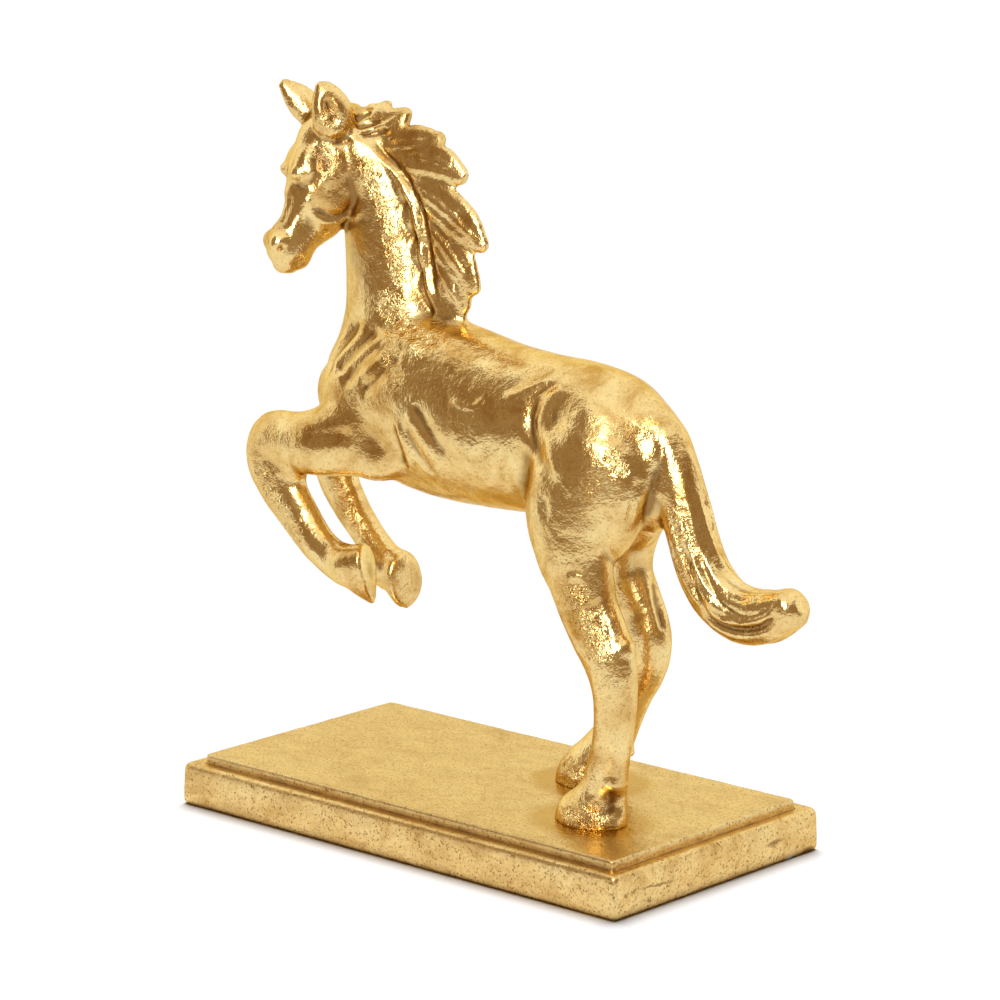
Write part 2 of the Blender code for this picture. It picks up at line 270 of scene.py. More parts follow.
figure = {
    "barrel": [
        (66, 0, 111, 10, 12), (59, 0, 112, 14.5, 16.5), (50, 0, 112.5, 18, 21),
        (38, 0, 112, 19.5, 23.4), (22, 0, 111.3, 19.5, 24.6), (4, 0, 111.5, 20.5, 26),
        (-14, 0, 113, 20.5, 27.8), (-32, 0, 114.5, 19, 28), (-46, 0, 116, 17, 25),
        (-55, 0, 114, 14.5, 20), (-61, 0, 112, 10.5, 14),
    ],
    "neck": [
        (-38, 0, 106, 16, 28), (-40, 0, 118, 14.5, 26), (-41.5, 0, 130, 12.5, 22.2),
        (-42, 0, 142, 10.8, 17.9), (-43.4, -1, 158, 9.8, 15.5), (-45.6, -2.5, 174, 9.2, 13.2),
        (-48.5, -5, 185, 8.8, 11.5), (-51, -7.5, 192, 8, 9.5),
    ],
    "nearFore": [
        (-42, -11, 104, 9, 15), (-54, -14, 101, 9, 12), (-67, -15.3, 98.8, 7.4, 10),
        (-78.8, -15.3, 98.2, 6.8, 9), (-82, -15.3, 91.5, 6.6, 7.6), (-76.7, -15.3, 84, 5.9, 8.5),
        (-69.2, -15.3, 75.7, 5.6, 7), (-61, -15.3, 67.6, 5.4, 6), (-54, -15.2, 63.5, 5.6, 6.2),
        (-48, -15, 62, 6, 7.4),
    ],
    "farFore": [
        (-42, 11, 104, 9, 15), (-54, 14, 101, 9, 12), (-67, 15, 98.5, 7.4, 10),
        (-78.5, 15, 97, 6.8, 8.8), (-83, 15, 89.5, 6.4, 7.6), (-80.8, 15, 80, 5.6, 7.2),
        (-74.8, 15, 71.3, 5.2, 6.1), (-67.5, 15, 63.5, 5.1, 5.3), (-62, 15, 57.5, 5.8, 6.4),
        (-58, 15, 54, 6.4, 7.6),
    ],
    "nearHind": [
        (48, -11, 112, 11, 20), (44, -14, 96, 10.5, 18), (45.5, -15.5, 82, 9.5, 13.5),
        (48.2, -15.5, 74, 8.6, 11.2), (51.4, -15.5, 65, 8, 9.6), (56, -15.5, 57, 7.4, 9.4),
        (60, -15.5, 50, 6.9, 8.8), (62, -15.5, 40, 6.3, 7), (61.3, -15.5, 28, 5.9, 6.2),
        (59.4, -15.5, 18, 6, 6.5), (57.6, -15.5, 10.5, 6.6, 7.6), (56, -15.6, 5.5, 7.8, 9.8),
        (53.9, -15.8, 0.5, 8.9, 12.5), (53.2, -15.8, -3, 9, 12.8),
    ],
    "farHind": [
        (46, 11, 110, 11, 20), (40, 14, 94, 10.5, 18), (38, 15, 80, 9, 13),
        (39.5, 15, 69, 7.7, 9.4), (43.3, 15, 61.5, 7.2, 8.8), (47.7, 15, 53, 6.8, 8.4),
        (48.8, 15, 46, 6.4, 7.8), (47.2, 15, 39.5, 6, 7.2), (43.3, 15, 32, 5.8, 6.4),
        (39.2, 15, 23.5, 5.8, 6.4), (35, 15, 15.5, 6.4, 7.2), (31.6, 15, 10, 7.2, 8.6),
        (28.8, 15, 5, 8.4, 10.8), (26.8, 15, 0.5, 9, 12.4), (26.4, 15, -3, 9, 12.6),
    ],
    "pairs": [  # muscles on both sides: centre on the right, radii, turn
        ((-45, 10.5, 112), (15, 8, 20), (0, -25, 0)),  # shoulder
        ((-57, 6.5, 107), (8, 7, 10)),  # breast
        ((46, 9.5, 110), (18, 10.5, 19), (0, 20, 0)),  # haunch
        ((40, 12, 100), (17, 9, 24), (0, -20, 0)),  # thigh
        ((-38, 13, 97.5), (13, 7, 9)),  # elbow
    ],
    "muscles": [
        ((54.5, -10.5, 94), (11.5, 9.5, 21), (0, 27, 0)),  # buttocks
        ((52, 9, 102), (10, 9, 15), (0, 20, 0)),
        ((61, 0, 102), (9, 9, 15)),
        ((66.5, -1, 101), (7, 8.6, 14), (0, 12, 0)),  # the tail's root runs into the buttocks
        ((-73, -15.3, 89), (6.4, 5.6, 5.4)),  # flesh in the bend of the near knee
        ((-83, -15.3, 96), (4.6, 5.4, 6.5), (0, 20, 0)),  # knees
        ((-83.5, 15, 94), (4.4, 5.2, 6.3), (0, 20, 0)),
        ((-52.5, -15.2, 60.6), (4, 4.6, 3.4)),  # front fetlocks
        ((-60.5, 15, 53.6), (4, 4.6, 3.4)),
        ((64.2, -15.5, 53.5), (4.2, 4.6, 5.4), (0, 20, 0)),  # points of the hocks
        ((52.4, 15, 50), (3.8, 4.2, 5), (0, 20, 0)),
        ((62, -15.8, 14), (3.4, 5.4, 4.4), (0, 25, 0)),  # tufts at the hind heels
        ((38.4, 15, 13), (3.6, 4.8, 4), (0, 25, 0)),
    ],
    "frontHooves": [  # centre, sole, top, height, tilt about y and then z, how much the toe narrows
        ((-39.6, -14.5, 60.6), (6.4, 10.2), (4.4, 5.4), 10.5, (-100, 22), 0.42),
        ((-51.4, 15, 51.6), (7.4, 9.8), (5, 5.6), 11, (-92, -8), 0.08),
    ],
}


def addHoof(skin, centre, sole, top, height, tilt, toe):
    # A leaning wedge with a swollen sole that narrows to its toe; untilted, the toe is at -X
    pitch, yaw = (math.radians(a) for a in tilt)
    turn = Matrix.Rotation(yaw, 4, "Z") @ Matrix.Rotation(pitch, 4, "Y")
    place = Matrix.Translation(centre) @ turn @ Matrix.Shear("XY", 4, (0.35, 0))
    levels = [(-0.09, 0.5), (-0.07, 0.78), (-0.02, 0.94), (0.06, 1), (0.3, 1), (0.6, 1), (1, 0.96)]

    def reach(ring, turned, _):
        _, share, swell = ring
        width = (sole[0] + (top[0] - sole[0]) * share) * swell
        length = (sole[1] + (top[1] - sole[1]) * share) * swell
        across = math.sin(turned) * width * (1 + toe * (1 - share) * math.cos(turned))
        return place @ Vector((math.cos(turned) * length, across, share * height))

    layTube(skin, [(Vector(), *level) for level in levels], 36, reach)


def addBody(skin):
    for part in ("barrel", "neck", "nearFore", "farFore", "nearHind", "farHind"):
        addLoft(skin, figure[part])
    for muscle in figure["pairs"]:
        addPair(skin, *muscle)
    for muscle in figure["muscles"]:
        addLump(skin, *muscle)
    for hoof in figure["frontHooves"]:
        addHoof(skin, *hoof)


# Tail: one loft, fluted into strands that run along it

tail = {
    "stations": [
        (58, 0, 123, 6.5, 7.5), (64.5, 0, 117.5, 7.5, 8.5), (71.3, 0, 107.5, 7.6, 8.2),
        (75.5, 0, 96, 7.6, 8), (78.8, 0, 86, 7.6, 8), (83, 0, 77.5, 7.6, 8.2),
        (89.5, 0, 71, 7.6, 8.5), (98, 0, 67.8, 7.6, 8.5), (107, 0, 68.8, 7.4, 8),
        (113.8, 0, 71.8, 6.5, 6.6),
    ],
    "strands": 11,
    "depth": 0.21,  # of a groove, as a share of the radius
    "twist": 0.9,  # radians from root to tip
    "fades": (0.07, 0.08),  # of its length, at the root and the tip, where the grooves run out
}


def tailFluting(turn, share):
    bent = turn + tail["twist"] * share
    bent += 0.22 * math.sin(2 * turn + 1) + 0.12 * math.sin(3 * turn + 5 * share)  # uneven strands
    strand = abs(math.sin(bent * tail["strands"] / 2)) ** 0.65
    root, tip = tail["fades"]
    fade = min(1, share / root) * min(1, (1 - share) / tip)
    return 1.03 - tail["depth"] * fade * (1 - strand)


# Mane: a row of leaf shaped locks, swept back from the crest of the neck

mane = {
    "crest": [
        (-51.8, -7, 199.9), (-45.3, -5, 192.9), (-35.4, -3.5, 184), (-30.1, -2, 170.9),
        (-27.4, -1, 157.5), (-22.5, 0, 141),
    ],
    "thickness": 3.3,  # half of it, at a lock's middle
    "locks": [  # root's share of the crest, tip, bow below the straight line, half width, strands
        (0.01, (-42.6, -2, 205.6), -1.5, 4.4, 3),
        (0.09, (-34.8, -1, 204), -1.5, 5, 3),
        (0.20, (-21, 0, 196.8), -0.5, 5.6, 3),
        (0.32, (-11.6, 0, 185.4), 3, 6.6, 4),
        (0.42, (-3.4, 0, 164.2), 3.5, 6.2, 3),
        (0.54, (-7.2, 0, 150.5), 3, 6.2, 3),
        (0.70, (-11.5, 0, 144.5), 2.5, 6, 3),
        (0.84, (-14, 0, 137), 2, 5.4, 3),
    ],
    "profile": [  # of a lock: place, width, body
        (0, 0.72, 1.1), (0.35, 0.97, 1), (0.7, 1, 0.92), (0.95, 0.5, 0.6),
    ],
    "groove": 0.46,  # of the thickness, between two strands
    "shingle": 0.42,  # how much thicker a lock's lower edge is
    "ragged": 1.1,  # how far a strand's end stands out
    "facets": 64,
}


def crestPoint(share):
    crest = mane["crest"]
    place = share * (len(crest) - 1)
    i = min(int(place), len(crest) - 2)
    return Vector(crest[i]).lerp(Vector(crest[i + 1]), place - i)


def addLock(skin, share, tip, bow, width, strands):
    root = crestPoint(share)
    chord = Vector(tip) - root
    below = chord.cross(lateral).normalized()
    stations = []
    for place, breadth, body in mane["profile"]:
        centre = root + chord * place + below * bow * 4 * place * (1 - place)
        stations.append((*centre, mane["thickness"] * body, width * breadth, place))
    rings = []
    for centre, along, thick, wide in spine(stations, 6):
        rings.append((centre, along, lateral, along.cross(lateral).normalized(), thick, wide))
    rings += [roundedEnd(rings[-1], 1, degrees) for degrees in (30, 60)]

    def reach(ring, turn, grown):
        _, along, across, deep, thick, wide = ring
        s = math.sin(turn)
        strand = abs(math.sin(math.pi * strands * (s + 1) / 2 + 0.35 * grown)) ** 0.7
        body = (1 - mane["groove"] * (1 - strand)) * (1 - mane["shingle"] * s)
        offset = across * thick * math.cos(turn) * body + deep * wide * s
        return offset + along * mane["ragged"] * (strand - 0.5) * grown ** 3

    layTube(skin, rings, mane["facets"], reach)


# Carved lines: kind, height, half width, points on or near the skin, and a note where the right
# side hasn't got it. A groove goes in, a ridge comes out, and a fold is a step across its line.

carving = {
    "body": [
        ("fold", 0.9, 3.2, [(38.3, -13.4, 128.6), (34.3, -14.7, 127.1), (32.5, -16.5, 124.2),
            (33.2, -18.3, 119.5), (35.2, -19.5, 115.6), (39.5, -21.7, 110.7), (43.5, -22.9, 106.3),
            (47.7, -23.5, 101.9)]),
        ("fold", 0.6, 2.2, [(30.7, -17.2, 122.6), (31.9, -19, 116.5), (34.9, -20.3, 111.3),
            (39.1, -22.3, 107.1)]),
        ("groove", 0.7, 3.2, [(30.4, -19.5, 112), (28.8, -19.2, 105.9), (27.7, -18.6, 100.5),
            (22.3, -13.6, 93.7), (18.5, -8.2, 88.9)]),
        ("fold", -0.8, 3, [(-17.9, -19.9, 116.7), (-13.5, -20.3, 114.3), (-9.5, -20.3, 109.6),
            (-6, -19.8, 105.5), (-3, -18.8, 101.3)]),
        ("fold", 0.7, 2.2, [(-23.7, -19.7, 112.1), (-21.6, -19.2, 106.3), (-21.3, -17.4, 100),
            (-22.3, -15.3, 95.8)]),
        ("fold", -0.6, 2.4, [(-19.9, -19.9, 111.9), (-17.5, -19.3, 105.4), (-13.1, -17.6, 98.9),
            (-11.5, -16.1, 95.9)]),
        ("groove", 1.5, 2.4, [(-45.9, -10.6, 139.8), (-51.5, -11.4, 132.4), (-56, -13.3, 126),
            (-54.6, -15.8, 121.2)]),
        ("groove", 1.5, 2.5, [(-36.5, -10.8, 138.6), (-42.4, -13.3, 132.2), (-48.7, -15.4, 126.4),
            (-50.8, -16.5, 122.5)]),
        ("groove", 1.4, 2.4, [(-31.3, -13.1, 134.3), (-36.7, -15, 130.1), (-42.8, -16.2, 125),
            (-47.8, -17.6, 119.2)]),
        ("groove", 1.2, 2.4, [(-24.7, -14.7, 132.3), (-28.7, -17, 126.9), (-34, -17.9, 121.8),
            (-39.3, -17.7, 119.6)]),
        ("ridge", 0.9, 2.6, [(-32, -9.1, 141.2), (-27, -11.2, 136.8), (-19.4, -13.9, 133.6),
            (-14.2, -15.2, 131.4)]),
        ("ridge", 0.6, 1.1, [(-0.8, -19, 121.7), (5.3, -19.1, 120), (10.6, -18.5, 120.9),
            (11.5, -17.3, 123.8)], "near"),
        ("ridge", 0.5, 1.6, [(17.9, -16.9, 123.9), (23.5, -15.5, 125.9), (27.7, -13.8, 128.3),
            (32.6, -10.7, 131.5)]),
        ("ridge", 0.5, 1.6, [(20.8, -16.9, 123.5), (28.1, -16.4, 124.4), (32.5, -14.9, 126.9),
            (38.5, -13.1, 128.9)]),
        ("groove", 0.5, 2.2, [(40.4, -23.8, 99.5), (42, -24.5, 94), (43.2, -24.7, 91.3)], "near"),
        ("groove", 0.9, 1.8, [(66.6, -8.6, 93), (68.2, -8, 99.4), (71, -8.1, 107.1), (72, -7.3, 113),
            (70.1, -6.2, 118.3)]),
        ("groove", 0.5, 1.4, [(62.6, -13, 92), (64.4, -12.6, 99), (66.4, -12, 106)], "near"),
        ("groove", 0.8, 2.6, [(-60.9, -22.6, 102.2), (-52.7, -22.3, 104), (-45.7, -21, 104.8),
            (-40.6, -19.7, 103.8)]),
        ("fold", 0.5, 1.3, [(49.3, -23.9, 73.3), (51.6, -23.4, 74.8), (55, -22, 74.9)], "near"),
        ("groove", 0.7, 2.2, [(47.2, -23.5, 68.8), (49.6, -22.2, 58.8), (56.9, -22.5, 53.3)], "near"),
        ("groove", 0.9, 2.0, [(57.5, -21.5, 70), (60.9, -20.5, 63.5), (63, -20.8, 57)], "near"),
        ("groove", 1.0, 1.8, [(49.3, 17, 68), (53.6, 14.2, 60.2), (56.2, 14.3, 52.3)], "near"),
        ("fold", 0.8, 1.8, [(62.8, -20.6, 12.2), (65.4, -16.8, 11), (64.6, -11, 11)], "near"),
        ("fold", 1.1, 1.4, [(37, 9, 11.4), (40.6, 12, 10.4), (41.4, 16.5, 10.4), (38.8, 20.5, 10.6)],
            "near"),
        ("groove", 0.9, 1.1, [(-48.8, -10.8, 200.7), (-47.5, -7.7, 202.3), (-44.5, -5.5, 204.2)]),
        ("groove", 1.0, 1.1, [(-47.2, -11.6, 198.1), (-45, -7.7, 199.8), (-40.2, -5.6, 201.5)]),
        ("ridge", 0.8, 1.0, [(-46.2, -11.9, 197.1), (-43.8, -7.7, 198.4), (-39, -5.6, 200)]),
        ("groove", 1.0, 1.1, [(-45.1, -12.1, 196.2), (-42.6, -7.6, 197.2), (-37.8, -5.6, 198.4)]),
        ("ridge", 1.0, 1.2, [(-43.9, -11, 195.7), (-39.5, -8.6, 190.4), (-34.2, -6.3, 185.2),
            (-30.2, -5.8, 178.9), (-27.3, -5.4, 171.5), (-26.2, -4.7, 163.3), (-24.8, -3.8, 155.1),
            (-22.6, -3.4, 148.1), (-20.4, -3, 142.8)]),
        ("groove", 1.4, 1.6, [(-41.2, -9.6, 195.4), (-36.8, -7.4, 190), (-31.6, -5.4, 184.6),
            (-27.6, -5, 178.4), (-24.8, -4.6, 171), (-23.6, -4, 163), (-22.2, -3.2, 155),
            (-20, -2.8, 147.6)]),
        ("groove", 1.5, 1.2, [(80.5, -7.3, 87.3), (85, -7.5, 74.7), (90.3, -6.6, 66.1),
            (100.4, -6.8, 64.5), (110.2, -6.7, 67.4), (115.6, -5.5, 74.1)]),
        ("groove", 0.7, 1.1, [(83.5, -4.9, 90.7), (87.8, -5.9, 79.6), (93.7, -6.9, 72.7),
            (102.4, -7.3, 69.6), (110, -6.7, 72), (113.5, -4.9, 75.6)]),
    ],
    "head": [  # in the head's frame
        ("fold", -1.1, 1.8, [(29.5, -1.5, 8), (31.5, 4, 8), (30, 9.5, 7.5), (25, 13, 7),
            (20, 12.8, 7.5)]),
        ("groove", 0.5, 1.6, [(32.5, 8, 6), (35.5, 6.5, 5), (38.5, 7, 4)]),
        ("groove", 0.4, 0.9, [(48.4, 2.4, 1.5), (46.6, 2.5, 4), (43.8, 2.3, 5.6)]),
        ("groove", 0.5, 1.5, [(40, 8.6, 4), (40.6, 8, 0), (40, 8.6, -4)], "near"),
        ("groove", 0.9, 1.0, [(43, -4.8, 6.2), (44.8, -4.4, 6), (46.2, -2.8, 5.2)]),
        ("ridge", 0.4, 1.0, [(17.6, -5.6, 9), (20.4, -6.4, 9), (23, -6, 8.6)]),
        ("groove", 0.6, 1.1, [(18.4, -3.8, 9.6), (21.4, -3.6, 9.4), (24.6, -5.2, 8.6)]),
        ("ridge", 0.6, 1.9, [(26, -3, 8.4), (30.5, -3.4, 7.4), (35.5, -3.6, 6.2), (39.5, -3.4, 6)]),
        ("groove", 0.5, 1.5, [(27.5, -9, 3.6), (33, -8, 3.4), (39, -7.4, 3.2)]),
        ("groove", 0.5, 1.4, [(0.6, -8.6, 12), (-1, -10.4, 12), (-2.6, -12, 11)], "near"),
        ("ridge", 0.7, 1.0, [(8, -7, 9), (5.5, -4.2, 9.4), (2, -3, 9.6)], "near"),
        ("groove", 0.8, 1.2, [(8.6, -3.6, 8.4), (7.6, -0.6, 9.6), (4.6, 1.4, 9.4)], "near"),
    ],
    "dents": [  # point, radius, depth, and a note where it is on the near side alone
        ((27, -19, 102), 9, 1.1), ((-16, -19, 92), 8, 0.8), ((-50, -14, 176), 6, 0.8, "near"),
        ((-30, -17, 118), 8, 0.6), ((58, -22, 60), 5, 0.8, "near"), ((50, 10, 57), 4, 0.7, "near"),
        ((64.4, -18.6, 7), 3.6, 2.2, "near"), ((39.6, 12.6, 6.6), 3.4, 1.8, "near"),  # hind heels
        ((-62.5, 9.6, 79), 2.2, 1.2, "near"),
        ((-34, -17, 128), 15, -2), ((-36, -18.5, 95), 14, 1.8),  # the shoulder's face leans down
        ((36, -19.5, 121), 10, 1.6),
        ((55.2, -24.4, 2.4), 2.2, -0.7, "near"), ((59.6, -23.6, 3.4), 1.8, -0.6, "near"),  # clots of leaf
        ((62.4, -22.4, 1.8), 2, -0.8, "near"), ((65.4, -19, 1.8), 2, -0.8, "near"),
        ((57, -24, 7), 2, -0.5, "near"), ((50.6, -24.6, 1.6), 1.8, -0.5, "near"),
        ((27, 6, 3), 2.2, -0.7, "near"), ((33, 7, 2), 2.2, -0.7, "near"),
    ],
    "headDents": [
        ((14, -5.5, 9), 4.2, 0.9), ((26.6, -8, 7), 3, 1.1), ((34, 0.5, 6.4), 4.2, 0.8),
        ((36, -8, 0), 4, 0.7),
    ],
    "melted": [  # where forms run into each other: reach, points on both sides
        (3.6, [(-43.9, -11, 195.7), (-34.2, -6.3, 185.2), (-27.3, -5.4, 171.5), (-24.8, -3.8, 155.1),
               (-20.4, -3, 142.8)]),
        (6.5, [(-76, -18, 92), (-71, -18, 86)]), (6, [(-71.5, -13, 88), (-69, -15, 86)]),
        (3.4, [(-55, -10, 193), (-46, -9, 197)]),
        (7.5, [(-52, -18, 58), (-49, -20, 61), (-47, -17, 66)]),
        (5, [(-62, -16, 51), (-60, -19, 55), (-56, -14, 59)]),
    ],
    "shadeSpots": [  # brown spots laid over the leaf as painted shade and painted dark reflections: centre, radius, amount
        ((-38.6, -15.5, 61.5), 8, 0.5), ((-49, 14, 50), 9, 0.36), ((49, 8, 62), 20, 0.5),
        ((46, 10, 40), 15, 0.36), ((-66, 10, 66), 12, 0.4), ((-74, 9, 76), 9, 0.4),
        ((-60, -29, 161), 6, 0.26), ((-60.7, -23, 192), 7, 0.3), ((-50.3, -9.7, 157.5), 9, 0.3),
        ((-51, -21, 186), 4, 0.3), ((-16, -4, 139), 5, 0.3), ((34, 8, 8), 8, 0.2),
        ((64, -19, 7.5), 4, 0.3), ((66, -9, 96), 7, 0.25), ((-22, -19, 122), 9, 0.1),
        ((4, -20, 114), 14, 0.1), ((41, -24, 96), 9, 0.14), ((-48, -14, 128), 9, 0.16),
        ((-52, -23.4, 187), 6.5, 0.6), ((-44.2, -11.4, 172.3), 8, 0.4), ((-45, -10.5, 162), 8, 0.34),
        ((-43, -12, 151), 7, 0.3), ((8, -20, 108), 12, 0.12), ((34.3, -21.5, 104.3), 7, 0.22),
    ],
    "earHollows": [((-1.8, -11, 11.4), 1.5, 1.2), ((0, -9, 11.4), 1.6, 1.9), ((2, -7, 11), 1.6, 1.7)],
    "crackled": [  # where the leaf is laid in shards: reach, points
        (2.4, [(-44, -13, 190), (-38, -10.5, 178), (-34, -10, 165), (-31, -10, 152)]),
        (5.2, [(-36.2, -9.9, 146.6), (-30.9, -8.9, 141), (-25, -12, 135), (-15, -12, 135.4)]),
        (4.0, [(-31, -14, 136), (-27, -16, 128), (-22, -18, 124)]),
        (3.2, [(-52.9, -21, 193.8), (-50.1, -20, 189.6), (-48.4, -17.9, 185.2)]),
        (2.8, [(60, -17.5, 114), (63.3, -16.5, 111), (65, -15, 107)]),
        (2.4, [(66, -10, 118), (68.9, -6.5, 119)]),
        (5.2, [(50, -23, 72), (53, -23, 66), (57, -22.5, 60), (60, -22, 53)]),
        (3.8, [(-80, -20.5, 90), (-74, -20.5, 79), (-64, -20.5, 69)]),
        (2.8, [(-78, 10, 80), (-72, 10, 70), (-66, 10, 62)]),
        (2.4, [(76, -7, 98), (79, -7.5, 86)]),
        (5.0, [(50, -24, 3), (56, -24, 3), (62, -22, 4)]),
        (5.0, [(22, 10, 5), (28, 6, 4), (36, 10, 5)]),
        (3.0, [(-50, -19, 205), (-51, -19, 200)]),
        (3.4, [(-36, 11, 186), (-31, 9, 168), (-27, 9, 150)]),
        (4.0, [(52, 22, 114), (58, 18, 108)]),
        (4.6, [(42, 21, 70), (44, 21, 60)]),
    ],
}


def skinData(mesh):
    points = np.empty(len(mesh.vertices) * 3)
    mesh.vertices.foreach_get("co", points)
    edges = np.empty(len(mesh.edges) * 2, np.int64)
    mesh.edges.foreach_get("vertices", edges)
    mesh.calc_loop_triangles()
    triangles = np.empty(len(mesh.loop_triangles) * 3, np.int64)
    mesh.loop_triangles.foreach_get("vertices", triangles)
    return points.reshape(-1, 3), edges.reshape(-1, 2), triangles.reshape(-1, 3)


def relaxed(points, edges, passes, share=0.5):
    # Each point moves towards the middle of its neighbours, by share, in each pass
    count = len(points)
    low, high = edges[:, 0], edges[:, 1]
    near = np.maximum(np.bincount(low, minlength=count) + np.bincount(high, minlength=count), 1)
    share = np.broadcast_to(share, count)[:, None]
    points = points.copy()
    for _ in range(passes):
        total = np.stack([
            np.bincount(low, points[high, k], count) + np.bincount(high, points[low, k], count)
            for k in range(3)
        ], 1)
        points += share * (total / near[:, None] - points)
    return points


def outwards(points, triangles):
    a, b, c = (points[triangles[:, k]] for k in range(3))
    faces = np.cross(b - a, c - a)
    normals = np.stack([
        sum(np.bincount(triangles[:, j], faces[:, k], len(points)) for j in range(3)) for k in range(3)
    ], 1)
    return normals / np.maximum(np.linalg.norm(normals, axis=1), 1e-12)[:, None]


def pathOnSkin(tree, nodes, spacing=0.5):
    nodes = [tuple(node) for node in nodes]
    length = sum(math.dist(a, b) for a, b in zip(nodes, nodes[1:]))
    fine = refine(nodes, max(2, round(length / spacing / (len(nodes) - 1))))
    laid = [tree.find_nearest(Vector(p)) for p in fine]
    return (evened(np.array([hit[i] for hit in laid])) for i in (0, 1))


def evened(rows, reach=6):  # a running mean, so that a line doesn't dip into each crack it crosses
    padded = np.concatenate([rows[:1].repeat(reach, 0), rows, rows[-1:].repeat(reach, 0)])
    return np.stack([padded[k:k + len(rows)] for k in range(2 * reach + 1)]).mean(0)


def nearPath(points, path, reach):
    near = np.flatnonzero(((points > path.min(0) - reach) & (points < path.max(0) + reach)).all(1))
    gaps = points[near][:, None] - path[None]
    squares = (gaps ** 2).sum(2)
    closest = squares.argmin(1)
    rows = np.arange(len(near))
    return near, closest, gaps[rows, closest], np.sqrt(squares[rows, closest])


def carveLine(relief, points, normals, tree, kind, height, width, nodes):
    path, facing = pathOnSkin(tree, nodes)
    near, closest, away, distance = nearPath(points, path, 3 * width)
    if not len(near):
        return
    tangent = np.gradient(path, axis=0)
    tangent /= np.maximum(np.linalg.norm(tangent, axis=1), 1e-9)[:, None]
    across = np.cross(facing, tangent)
    sideways = (away * across[closest]).sum(1) / width
    share = closest / (len(path) - 1)
    fade = np.clip(np.minimum(share, 1 - share) / 0.18, 0.12, 1) ** 0.8
    fade *= (normals[near] * facing[closest]).sum(1) > 0.1  # not through to the other side
    bell = np.exp(-(distance / width) ** 2)
    shape = {"groove": -bell, "ridge": bell, "fold": 1.9 * sideways * bell}[kind]
    relief[near] += height * fade * shape


def mirrored(nodes):
    return [(x, -y, z) for x, y, z in nodes]


def carvedSkin(points, triangles):
    normals = outwards(points, triangles)
    tree = BVHTree.FromPolygons(points.tolist(), triangles.tolist())
    relief = np.zeros(len(points))
    carve = partial(carveLine, relief, points, normals, tree)
    for kind, height, width, nodes, *nearOnly in carving["body"]:
        carve(kind, height, width, nodes)
        if not nearOnly:  # the right side is a little plainer
            turned = -height if kind == "fold" else height
            carve(kind, 0.8 * turned, width, mirrored(nodes))
    for kind, height, width, nodes, *nearOnly in carving["head"]:
        for way in (1,) if nearOnly else (1, -1):
            placed = [headPoint(u, v, w * way) for u, v, w in nodes]
            carve(kind, height * way if kind == "fold" else height, width, placed)
    dents = [dent[:3] for dent in carving["dents"]]
    dents += [(*mirrored([dent[0]]), *dent[1:]) for dent in carving["dents"] if len(dent) == 3]
    dents += [(headPoint(u, v, w * way), r, d) for (u, v, w), r, d in carving["headDents"]
              for way in ((1, -1) if w else (1,))]
    dents += [(headPoint(*place), r, d) for place, r, d in carving["earHollows"]]
    for place, radius, depth in dents:
        relief -= depth * np.exp(-((points - np.array(place)) ** 2).sum(1) / radius ** 2)
    return points + normals * relief[:, None]


def reachMask(points, triangles, marks, both=False):  # 1 along the marks' paths, to 0 past their reach
    tree = BVHTree.FromPolygons(points.tolist(), triangles.tolist())
    mask = np.zeros(len(points))
    marks = marks + [(reach, mirrored(nodes)) for reach, nodes in marks] if both else marks
    for reach, nodes in marks:
        path, _ = pathOnSkin(tree, nodes, 1.5)
        near, _, _, distance = nearPath(points, path, 1.8 * reach)
        mask[near] = np.maximum(mask[near], np.exp(-(distance / reach) ** 4))
    return mask


# Leaf on a casting: slow lumps, and shards where it has broken, pushed out by Geometry Nodes

def leafTree():
    tree = bpy.data.node_groups.new("leafed casting", "GeometryNodeTree")
    for name in ("Geometry", "Lump Height", "Lump Size", "Shard Height", "Shard Size", "Seed", "Material"):
        kind = name if name in ("Geometry", "Material") else "Float"
        tree.interface.new_socket(name, in_out="INPUT", socket_type="NodeSocket" + kind)
    tree.interface.new_socket("Geometry", in_out="OUTPUT", socket_type="NodeSocketGeometry")
    add = partial(addNode, tree)
    given = add("NodeGroupInput").node.outputs
    place = add("GeometryNodeInputPosition")
    pushes = {}
    for layer, kind, values, settings in (
        ("Lump", "TexNoise", {"Detail": 3.0, "Roughness": 0.55}, {"noise_dimensions": "4D"}),
        ("Shard", "TexVoronoi", {}, {"voronoi_dimensions": "4D", "feature": "F1"}),
    ):
        scale = add("Math", [1.0, given[layer + " Size"]], operation="DIVIDE")
        scaled = add("VectorMath", {0: place, "Scale": scale}, operation="SCALE")
        values = {"Vector": scaled, "W": given["Seed"], "Scale": 1.0, **values}
        push = add("Math", [add(kind, values, **settings), -0.5], operation="ADD")
        pushes[layer] = add("Math", [push, given[layer + " Height"]], operation="MULTIPLY")
    shards = add("GeometryNodeInputNamedAttribute", {"Name": "crackled"}, data_type="FLOAT")
    push = add("Math", [pushes["Shard"], shards], operation="MULTIPLY")
    push = add("Math", [pushes["Lump"], push], operation="ADD")
    offset = add("VectorMath", {0: add("GeometryNodeInputNormal"), "Scale": push}, operation="SCALE")
    moved = add("GeometryNodeSetPosition", {"Geometry": given["Geometry"], "Offset": offset})
    whole = add("GeometryNodeRealizeInstances", {"Geometry": moved})
    painted = add("GeometryNodeSetMaterial", {"Geometry": whole, "Material": given["Material"]})
    add("NodeGroupOutput", {"Geometry": painted})
    return tree


def leafed(obj, tree, material, piece):
    values = {**piece["leaf"], "Material": material}
    modifier = obj.modifiers.new("leaf", "NODES")
    modifier.node_group = tree
    for item in tree.interface.items_tree:
        if item.in_out == "INPUT" and item.name in values:
            modifier[item.identifier] = values[item.name]


